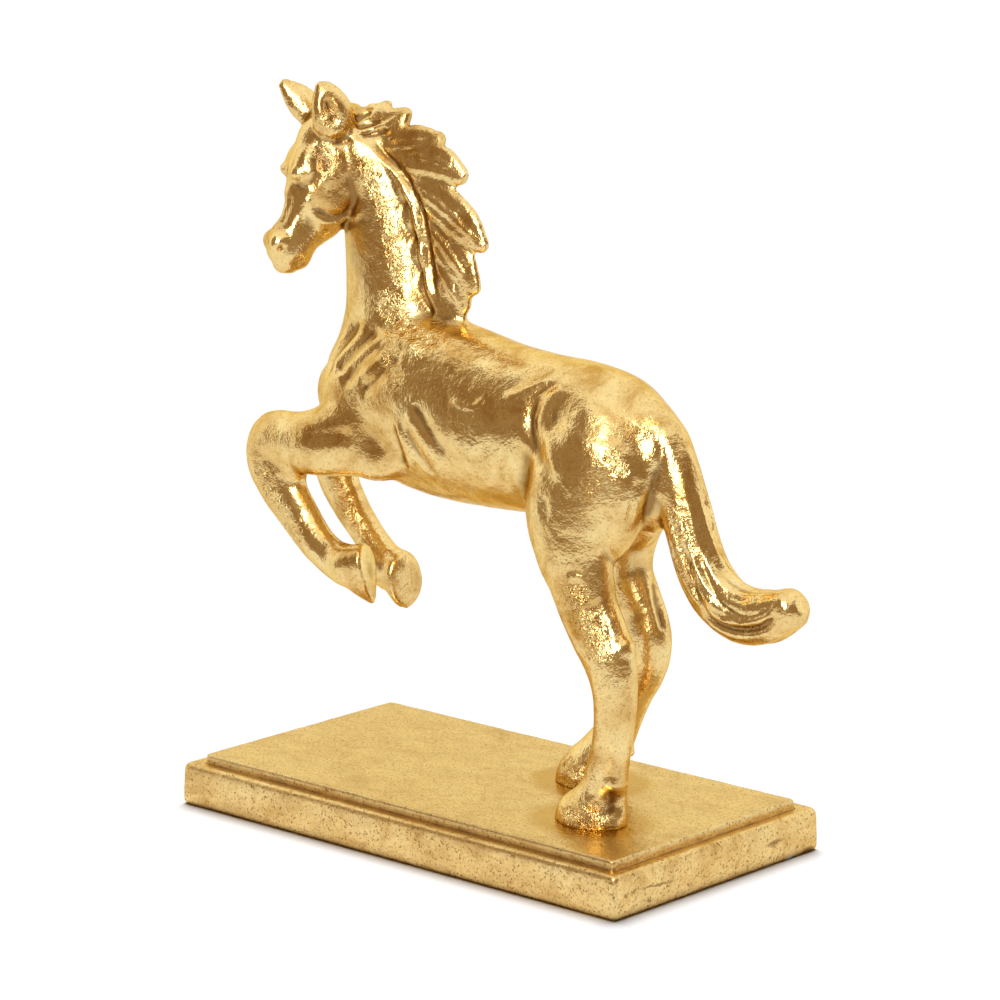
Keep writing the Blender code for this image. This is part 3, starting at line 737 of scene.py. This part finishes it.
def writeAttribute(mesh, name, values):
    attribute = mesh.attributes.get(name) or mesh.attributes.new(name, "FLOAT", "POINT")
    attribute.data.foreach_set("value", np.asarray(values, np.float32))


def hollows(points, edges, triangles, passes, depth):
    # How far a point lies in a crack or fold, from -1 on an edge to 1 in a crack of that depth
    smooth = relaxed(points, edges, passes)
    return np.clip(((smooth - points) * outwards(points, triangles)).sum(1) / depth, -1, 1)


# Horse

horse = {
    "grain": 0.77,  # drawn units between the merged skin's points
    "firstPasses": 3,  # of smoothing all over
    "trunkPasses": 38,  # more of it, where the trunk's muscles melt into each other
    "meltPasses": 30,  # and along the melted marks
    "trunkCentre": (0, 0, 112),
    "trunkReach": (84, 40, 33), "trunkRim": (1.06, 0.16),  # where the melting ends, and over how much
    "soleGap": 0.00005,
    "triangles": 186000,
    "cracks": (10, 0.00035), "folds": (60, 0.0012), "browning": 0.6,  # smoothing passes and full depth
    "leaf": {"Lump Height": 0.0004, "Lump Size": 0.007, "Shard Height": 0.0008, "Shard Size": 0.0033,
             "Seed": 3.0},
}


def mergedSkin():
    skin = bmesh.new()
    addBody(skin)
    addHead(skin)
    addLoft(skin, tail["stations"], facets=104, steps=6, fluting=tailFluting)
    for lock in mane["locks"]:
        addLock(skin, *lock)
    bmesh.ops.recalc_face_normals(skin, faces=skin.faces)
    pieces = bpy.data.meshes.new("pieces")
    skin.to_mesh(pieces)
    skin.free()
    rough = linkObject("pieces", pieces)
    merge = rough.modifiers.new("merge", "REMESH")
    merge.mode = "VOXEL"
    merge.voxel_size = horse["grain"]
    merge.use_smooth_shade = True
    return plainMesh(rough, "horse")


def cutSoles(mesh, height):
    form = bmesh.new()
    form.from_mesh(mesh)
    bmesh.ops.bisect_plane(form, geom=[*form.verts, *form.edges, *form.faces], plane_co=(0, 0, height),
                           plane_no=(0, 0, 1), clear_inner=True)
    bmesh.ops.edgeloop_fill(form, edges=[edge for edge in form.edges if edge.is_boundary])
    form.to_mesh(mesh)
    form.free()


def makeHorse(tree, material):
    mesh = mergedSkin()
    points, edges, triangles = skinData(mesh)
    print("horse merged:", len(triangles), "triangles")
    points = relaxed(points, edges, horse["firstPasses"])
    oval = np.sqrt((((points - horse["trunkCentre"]) / np.array(horse["trunkReach"])) ** 2).sum(1))
    rim, blend = horse["trunkRim"]
    points = relaxed(points, edges, horse["trunkPasses"], 0.5 * np.clip((rim - oval) / blend, 0, 1))
    melting = 0.5 * reachMask(points, triangles, carving["melted"], True)
    points = relaxed(points, edges, horse["meltPasses"], melting)
    points = carvedSkin(points, triangles)
    points = relaxed(points, edges, 1)
    writeAttribute(mesh, "crackled", reachMask(points, triangles, carving["crackled"]))
    mesh.vertices.foreach_set("co", (points * unit + (0, 0, plinthTop)).ravel())
    mesh.update()
    cutSoles(mesh, plinthTop + horse["soleGap"])
    print("horse carved")
    rough = linkObject("rough horse", mesh)
    leafed(rough, tree, material, horse)
    thin = rough.modifiers.new("thin", "DECIMATE")
    thin.ratio = min(1, horse["triangles"] / len(triangles))
    mesh = plainMesh(rough, "gilded horse")
    points, edges, triangles = skinData(mesh)
    points = np.clip(points, np.array(cadBox[0]) + 1e-5, np.array(cadBox[1]) - 1e-5)
    points[:, 2] = np.maximum(points[:, 2], plinthTop + horse["soleGap"])
    mesh.vertices.foreach_set("co", points.ravel())
    deep = hollows(points, edges, triangles, *horse["cracks"])
    wide = hollows(points, edges, triangles, *horse["folds"])
    # Brown spots of painted shade and painted dark reflection, added to the hollows' brown
    paintedShade = np.zeros(len(points))
    for place, radius, amount in carving["shadeSpots"]:
        gap = points - (np.array(place) * unit + (0, 0, plinthTop))
        paintedShade += amount * np.exp(-(gap ** 2).sum(1) / (radius * unit) ** 2)
    share = horse["browning"]
    writeAttribute(mesh, "hollowAndShade", np.clip(share * deep + share * wide + paintedShade, -1, 1))
    mesh.shade_smooth()
    mesh.update()
    piece = linkObject("gildedHorse", mesh)
    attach(piece, "root")
    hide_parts("horse")
    print("horse finished:", len(triangles), "triangles")
    return piece


# Plinth: a fine mesh over the slab and its raised panel

plinth = {
    "grid": 0.0011,  # between the top's lines
    "corner": 0.0016,  # radius of the corners, seen from above
    "profile": [  # inset from the foot, and height, in millimetres, up to the panel's edge
        (1.3, 0), (0.8, 0.1), (0.42, 0.36), (0.16, 0.8), (0.04, 1.4), (0, 2.4), (0.02, 3.6), (0.04, 4.8),
        (0.08, 6), (0.12, 7.2), (0.16, 8.4), (0.2, 9.6), (0.26, 10.6), (0.34, 11.5), (0.46, 12.1),
        (0.66, 12.62), (0.98, 13), (1.4, 13.24), (1.9, 13.32), (2.7, 13.3), (3.5, 13.28), (4.2, 13.24),
        (4.7, 13.1), (4.95, 12.9), (5.1, 13.2), (5.14, 13.7), (5.16, 14.2), (5.18, 14.7), (5.22, 15.2),
        (5.3, 15.56), (5.5, 15.84), (5.8, 15.98), (6.2, 16),
    ],
    "leaf": {"Lump Height": 0.00034, "Lump Size": 0.009, "Shard Height": 0.0, "Shard Size": 0.002,
             "Seed": 8.0},
    "poolAndReflectionReach": 0.013,  # of the glossy leaf round the hooves, whose amber is partly a painted reflection of the hooves
    "topFrom": 0.012, "panelFrom": 0.0153, "panelBlend": 0.0004,  # heights
    "riser": (0.0131, 0.0156), "riserBrown": 0.24,  # the panel's sides are painted browner
    "rubbedFrom": 0.0157, "rubbedShare": 0.2,  # and its top keeps less
    "cracks": (4, 0.00014), "footSlack": 0.0001,
}


def gridLine(half, step, corner):  # lines across a side: fine in the corners, even between them
    fine = [half - corner * share for share in (0, 0.2, 0.45, 0.72, 1, 1.5)]
    count = max(2, round(2 * fine[-1] / step))
    even = [-fine[-1] + 2 * fine[-1] * k / count for k in range(1, count)]
    return [-value for value in fine] + even + fine[::-1]


def makePlinth(tree, material, horsePiece):
    low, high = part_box("plinth")
    halfX, halfY = high.x, high.y
    scale = high.z / 0.016
    lineX = gridLine(1, plinth["grid"] / halfX, plinth["corner"] / halfX)
    lineY = gridLine(1, plinth["grid"] / halfY, plinth["corner"] / halfY)
    form = bmesh.new()

    def corner(x, y, inset):  # a point of the unit rectangle, on the rounded one at that inset
        reachX, reachY = halfX - inset, halfY - inset
        px, py = x * reachX, y * reachY
        edge = min(reachX - abs(px), reachY - abs(py))
        middleX, middleY = reachX - plinth["corner"], reachY - plinth["corner"]
        if abs(px) > middleX and abs(py) > middleY and edge < plinth["corner"]:
            gap = Vector((abs(px) - middleX, abs(py) - middleY))
            gap = gap.normalized() * (plinth["corner"] - edge)
            px, py = math.copysign(middleX + gap.x, px), math.copysign(middleY + gap.y, py)
        return px, py

    def laid(x, y, inset, height):
        return form.verts.new((*corner(x, y, inset * 0.001), height * 0.001 * scale))

    rim = [(x, -1) for x in lineX[:-1]] + [(1, y) for y in lineY[:-1]]
    rim += [(x, 1) for x in lineX[:0:-1]] + [(-1, y) for y in lineY[:0:-1]]
    loops = [[laid(x, y, *level) for x, y in rim] for level in plinth["profile"]]
    joinLoops(form, loops)
    placed = dict(zip(rim, loops[-1]))
    for x in lineX:
        for y in lineY:
            if (x, y) not in placed:
                placed[x, y] = laid(x, y, *plinth["profile"][-1])
    for x, nextX in zip(lineX, lineX[1:]):
        for y, nextY in zip(lineY, lineY[1:]):
            form.faces.new((placed[x, y], placed[nextX, y], placed[nextX, nextY], placed[x, nextY]))
    bmesh.ops.recalc_face_normals(form, faces=form.faces)
    mesh = bpy.data.meshes.new("plinth")
    form.to_mesh(mesh)
    form.free()
    writeAttribute(mesh, "crackled", np.zeros(len(mesh.vertices)))
    rough = linkObject("rough plinth", mesh)
    leafed(rough, tree, material, plinth)
    mesh = plainMesh(rough, "gilded plinth")
    points, edges, triangles = skinData(mesh)
    points = np.clip(points, np.array(low), np.array(high))
    flat = points[:, 2] < plinth["footSlack"]  # the foot stays level
    points[flat, 2] = np.minimum(points[flat, 2], 0)
    mesh.vertices.foreach_set("co", points.ravel())
    heights = points[:, 2]
    deep = hollows(points, edges, triangles, *plinth["cracks"])
    deep[heights > plinth["rubbedFrom"]] *= plinth["rubbedShare"]
    foot, rim = plinth["riser"]
    riser = (heights > foot) & (heights < rim)
    deep[riser] = np.maximum(deep[riser], plinth["riserBrown"])
    writeAttribute(mesh, "hollowAndShade", deep)
    # Amber round the hooves: glossy size, and partly a painted reflection of the hooves in the top
    soles = np.array([v.co for v in horsePiece.data.vertices if v.co.z < plinthTop + 0.002])
    poolAndReflection = np.zeros(len(points))
    top = np.flatnonzero(heights > plinth["topFrom"])
    for part in np.array_split(top, 24):  # in parts, to spare memory
        gap = np.sqrt(((points[part][:, None] - soles[None, ::6]) ** 2).sum(2).min(1))
        poolAndReflection[part] = np.clip(1 - gap / plinth["poolAndReflectionReach"], 0, 1)
    writeAttribute(mesh, "poolAndReflection", poolAndReflection)
    writeAttribute(mesh, "panel", np.clip((heights - plinth["panelFrom"]) / plinth["panelBlend"], 0, 1))
    mesh.shade_smooth()
    mesh.update()
    piece = linkObject("gildedPlinth", mesh)
    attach(piece, "root")
    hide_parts("plinth")
    print("plinth finished:", len(triangles), "triangles")
    return piece


# Finishes

leaf = {
    "pale": "#f3d996", "gold": "#e9c883", "khaki": "#dcc58c", "amber": "#cb9f57", "brown": "#7b5222",
    # the amber round the hooves is partly a painted reflection of them
    "poolAndReflection": "#b78c48", "plaster": "#ece8df",
    "rim": "#efd8a2",  # what the leaf's colour turns to at a glancing angle
    "ragged": 0.002, "raggedness": 0.0016,  # of the edges of shards and laps
    "wrinkle": 0.0015,  # ripples of the leaf over the size
    "swell": 0.006, "swellDepth": 0.00045,  # slow waves
    "crumple": 0.0026, "creaseDepth": -0.0015,  # folds where the leaf has broken
    "shard": 0.0021, "shardTilt": 0.4,
    "lap": 0.017, "lapWidth": 0.03, "lapDepth": 0.00003,  # the leaf's overlapping edges
    "coatRoughness": 0.16,
}


def markMask(tree, place, marks):  # 1 inside ragged ovals, each with its centre, turn about X and reaches
    found = 0.0
    for centre, turned, reaches in marks:
        turn = (math.radians(turned), 0, 0)
        inside = addNode(tree, "Mapping", {"Vector": place, "Location": centre, "Scale": reaches,
                                           "Rotation": turn}, vector_type="TEXTURE")
        reach = addNode(tree, "VectorMath", [inside], "Value", operation="LENGTH")
        mask = addNode(tree, "MapRange", [reach, 0.45, 1.15, 1.0, 0.0])
        found = addNode(tree, "Math", [mask, found], operation="MAXIMUM")
    return found


def leafMaterial(name, look):
    # Gold leaf laid over size on cast iron, toned and rubbed back: a satin mirror broken into soft
    # waves, with crumpled patches that glint, fine lap lines, and brown left in the hollows, with
    # brown spots of painted shade and painted dark reflection, and amber round the hooves that is
    # partly a painted reflection of them.
    material, tree, shader = newMaterial(name)
    add = partial(addNode, tree)
    place = add("TexCoord", output="Object")
    stretched = add("Mapping", {"Vector": place, "Scale": look["stretch"]})
    names = ("hollowAndShade", "crackled", "poolAndReflection", "panel")
    hollowAndShade, crackled, poolAndReflection, panel = (add("Attribute", output="Fac", attribute_name=name) for name in names)
    warp = add("TexNoise", {"Vector": place, "Scale": 1 / leaf["ragged"], "Detail": 3.0}, "Color")
    warped = add("VectorMath", [warp, (leaf["raggedness"],) * 3, place], operation="MULTIPLY_ADD")
    mottle, specks, wrinkles, swell, folds = (
        add("TexNoise", {"Vector": where, "Scale": 1 / size, "Detail": detail, "Roughness": rough,
                         "Distortion": bend})
        for where, size, detail, rough, bend in (
            (stretched, look["mottle"], 8.0, 0.66, 0.5), (place, look["speck"], 1.0, 0.7, 0.0),
            (stretched, leaf["wrinkle"], 3.0, 0.66, 0.25), (stretched, leaf["swell"], 2.0, 0.5, 0.0),
            (warped, leaf["crumple"], 3.0, 0.6, 0.0),
        )
    )
    shards = add("TexVoronoi", {"Vector": warped, "Scale": 1 / leaf["shard"]}, "Color")
    laps = add("TexVoronoi", {"Vector": warped, "Scale": 1 / leaf["lap"]}, feature="DISTANCE_TO_EDGE")
    lapLine = add("MapRange", [laps, 0.0, leaf["lapWidth"], 1.0, 0.0])

    # Brown: in the valleys, specks, smudges and lap lines, and most of all in the hollows and in the
    # spots of painted shade and painted dark reflection
    brown = 0.0
    for source, low, high, amount in (
        (wrinkles, 0.5, 0.34, "grain"), (specks, 0.57, 0.7, "specks"), (swell, 0.5, 0.68, "smudge"),
    ):
        stain = add("MapRange", [source, low, high, 0.0, look[amount]])
        brown = add("Math", [stain, brown], operation="MAXIMUM")
    brown = add("Math", [lapLine, look["laps"], brown], operation="MULTIPLY_ADD", use_clamp=True)
    sunk = add("Math", [add("Math", [mottle, -0.5], operation="ADD"), hollowAndShade], operation="ADD")
    sunk = add("MapRange", [sunk, 0.12, 0.75, 0.0, look["antique"]], interpolation_type="SMOOTHSTEP")
    brown = add("Math", [brown, sunk], operation="MAXIMUM")

    # The coats over the mottled leaf, each with its share: khaki on the plinth's top, brown, and
    # the glossy size round the hooves, whose amber is partly a painted reflection of the hooves.
    # Sheens say what each share adds to the roughness.
    pooledAndReflected = add("Math", [poolAndReflection, mottle], operation="ADD")
    pooledAndReflected = add("MapRange", [pooledAndReflected, 0.75, 1.05, 0.0, 0.7])
    khaki = add("Math", [panel, 0.5], operation="MULTIPLY")
    coats = [(khaki, "khaki"), (brown, "brown"), (pooledAndReflected, "poolAndReflection")]
    sheens = [(crackled, -0.07), (pooledAndReflected, -0.14), (brown, 0.12)]
    metallic = 1.0
    if look.get("scuffs"):  # rubbed to the brown size, and one chip down to the white under it
        scuffed = add("Math", [markMask(tree, warped, look["scuffs"]), 0.7], operation="MULTIPLY")
        chipped = markMask(tree, warped, look["chips"])
        coats += [(scuffed, "brown"), (chipped, "plaster")]
        sheens.append((chipped, 0.5))
        metallic = add("Math", [1.0, chipped], operation="SUBTRACT")
    spread = look["spread"]
    stops = [(0.5 - spread, leaf["amber"]), (0.5, leaf["gold"]), (0.5 + spread, leaf["pale"])]
    colour = add("ValToRGB", {"Fac": mottle}, stops=stops)
    for share, tint in coats:
        colour = add("Mix", {"Factor": share, 6: colour, 7: linear(leaf[tint])}, 2, data_type="RGBA")
    gloss = add("MapRange", [mottle, 0.3, 0.7, look["roughness"] + 0.05, look["roughness"] - 0.05])
    for share, gain in sheens:
        gloss = add("Math", [share, gain, gloss], operation="MULTIPLY_ADD")

    # Relief too fine for the mesh
    crease = add("Math", [folds, 0.5], operation="SUBTRACT")
    crease = add("Math", [crease], operation="ABSOLUTE")
    crease = add("Math", [crease, crackled], operation="MULTIPLY")
    height = add("Math", [crease, leaf["creaseDepth"]], operation="MULTIPLY")
    for source, depth in (
        (swell, leaf["swellDepth"]), (wrinkles, look["ripple"]),
        (specks, look["grit"]), (lapLine, leaf["lapDepth"]),
    ):
        height = add("Math", [source, depth, height], operation="MULTIPLY_ADD")
    bump = add("Bump", {"Height": height, "Strength": look["bump"], "Distance": 1.0})
    tilt = add("VectorMath", [shards, (0.5, 0.5, 0.5)], operation="SUBTRACT")
    broken = add("Math", [crackled, leaf["shardTilt"], look["tilt"]], operation="MULTIPLY_ADD")
    tilt = add("VectorMath", {0: tilt, "Scale": broken}, operation="SCALE")
    normal = add("VectorMath", [bump, tilt], operation="ADD")
    normal = add("VectorMath", [normal], operation="NORMALIZE")
    feed(shader, {
        "Base Color": colour, "Metallic": metallic, "Roughness": gloss, "Normal": normal,
        "Coat Weight": look["coat"], "Coat Roughness": leaf["coatRoughness"],
        "Specular Tint": linear(leaf["rim"]),
    })
    return material


horseLook = {
    "stretch": (1, 1, 1), "mottle": 0.013, "spread": 0.15, "ripple": 0.00005, "grit": 0.0001,
    "specks": 0.4, "speck": 0.0007, "grain": 0.1, "smudge": 0.06, "laps": 0.0, "antique": 0.8,
    "roughness": 0.2, "coat": 0.06, "bump": 1.0, "tilt": 0.03,
}
plinthLook = {
    "stretch": (0.7, 1, 1), "mottle": 0.011, "spread": 0.22, "ripple": 0.0001, "grit": 0.00011,
    "specks": 0.8, "speck": 0.0008, "grain": 0.24, "smudge": 0.16, "laps": 0.1, "antique": 0.9,
    "roughness": 0.32, "coat": 0.16, "bump": 0.7, "tilt": 0.03,
    "scuffs": [  # on the end behind the horse
        ((0.0907, -0.0387, 0.0081), 20, (0.002, 0.0015, 0.0006)),
        ((0.0907, -0.0319, 0.0037), -15, (0.002, 0.0016, 0.0005)),
        ((0.0907, -0.0422, 0.0077), 0, (0.002, 0.0009, 0.0008)),
        ((0.0907, -0.0281, 0.0077), -5, (0.002, 0.0088, 0.00045)),
        ((0.0907, 0.0271, 0.0079), 3, (0.002, 0.0048, 0.0008)),
        ((0.0907, 0.0434, 0.0018), 0, (0.003, 0.003, 0.0012)),
    ],
    "chips": [((0.0907, 0.0343, 0.0012), 12, (0.003, 0.0017, 0.0011))],
}


# Studio: a white tent, a pale floor, a soft box, a key from behind and a dark card round the front

studio = {
    "tent": 1.17,
    "floorSize": 12.0,
    "floor": "#ededf0",
    "boxAt": (28, 24),  # degrees from the horse's left towards its tail, and up
    "boxDistance": 0.36, "boxHeight": 0.12, "boxSize": (0.13, 0.21), "boxPower": 0.86,
    "keyAt": (222, 70), "keyAngle": 42, "keyStrength": 4.05,
    "cardRadius": 0.5, "cardFoot": 0.6,
    "cardTop": [(-52, 64), (-14, 64), (8, 46), (118, 46)],  # turn and rise along its upper edge
    "cardColour": "#a08566",
    "lens": 148, "cameraAt": (0.8212, -0.9102, 0.3732), "aim": (0.01458, -0.01368, 0.108),
}


def towards(turn, rise):  # turn from -Y towards +X
    turn, rise = math.radians(turn), math.radians(rise)
    return Vector((math.sin(turn) * math.cos(rise), -math.cos(turn) * math.cos(rise), math.sin(rise)))


def aimed(name, data, way, place=(0, 0, 0)):  # an object whose lamp or lens looks along a way
    obj = linkObject(name, data)
    obj.location = place
    obj.rotation_euler = way.to_track_quat("-Z", "Y").to_euler()
    return obj


def makeStudio():
    world = bpy.data.worlds.new("tent")
    world.use_nodes = True
    feed(world.node_tree.nodes["Background"], {"Color": (1, 1, 1, 1), "Strength": studio["tent"]})
    bpy.context.scene.world = world
    world.cycles_visibility.diffuse = False  # the key alone lights the floor

    ends = (-studio["floorSize"] / 2, studio["floorSize"] / 2)
    floor = linkObject("floor", gridMesh("floor", [[(x, y, 0) for x in ends] for y in ends]))
    paper, _, shader = newMaterial("matt paper")  # no gloss, so that it shows no reflection
    feed(shader, {"Base Color": linear(studio["floor"]), "Roughness": 1.0, "Specular IOR Level": 0.0})
    floor.data.materials.append(paper)

    light = bpy.data.lights.new("soft box", "AREA")
    light.shape = "RECTANGLE"
    light.size, light.size_y = studio["boxSize"]
    light.energy = studio["boxPower"]
    way = towards(*studio["boxAt"])
    place = Vector((0, 0, studio["boxHeight"])) + way * studio["boxDistance"]
    box = aimed("soft box", light, -way, place)
    box.visible_diffuse = False  # it lights the leaf, and the key lights the floor
    key = bpy.data.lights.new("key from behind", "SUN")
    key.energy = studio["keyStrength"]
    key.angle = math.radians(studio["keyAngle"])
    aimed("key from behind", key, -towards(*studio["keyAt"])).visible_glossy = False

    # The card is seen by reflections alone: it gives the metal its brown side and nothing else
    turns, tops = zip(*studio["cardTop"])
    columns = np.linspace(turns[0], turns[-1], 25)
    rises = np.linspace(studio["cardFoot"], np.interp(columns, turns, tops), 9)
    rows = [[towards(*at) * studio["cardRadius"] for at in zip(columns, row)] for row in rises]
    card = linkObject("darkCard", gridMesh("dark card", rows))
    cloth, tree, _ = newMaterial("dark cloth")
    tree.nodes.clear()
    glow = addNode(tree, "Emission", {"Color": linear(studio["cardColour"]), "Strength": 1.0})
    addNode(tree, "OutputMaterial", {"Surface": glow})
    card.data.materials.append(cloth)
    card.visible_camera = card.visible_diffuse = card.visible_shadow = card.visible_transmission = False


def makeCamera():
    data = bpy.data.cameras.new("camera")
    data.lens, data.sensor_width, data.clip_end = studio["lens"], 36, 50
    way = Vector(studio["aim"]) - Vector(studio["cameraAt"])
    bpy.context.scene.camera = aimed("camera", data, way, studio["cameraAt"])


makeCamera()
makeStudio()
bpy.context.scene.view_settings.view_transform = "Standard"
bpy.context.scene.cycles.glossy_bounces = 3
print("studio set")
castLeaf = leafTree()
horsePiece = makeHorse(castLeaf, leafMaterial("gold leaf on cast iron, rubbed", horseLook))
plinthPiece = makePlinth(castLeaf, leafMaterial("gold leaf on cast iron, satin", plinthLook), horsePiece)
blockers = bpy.data.collections.new("plinth alone")  # only its soft shadow falls on the floor
blockers.objects.link(plinthPiece)
bpy.data.objects["key from behind"].light_linking.blocker_collection = blockers
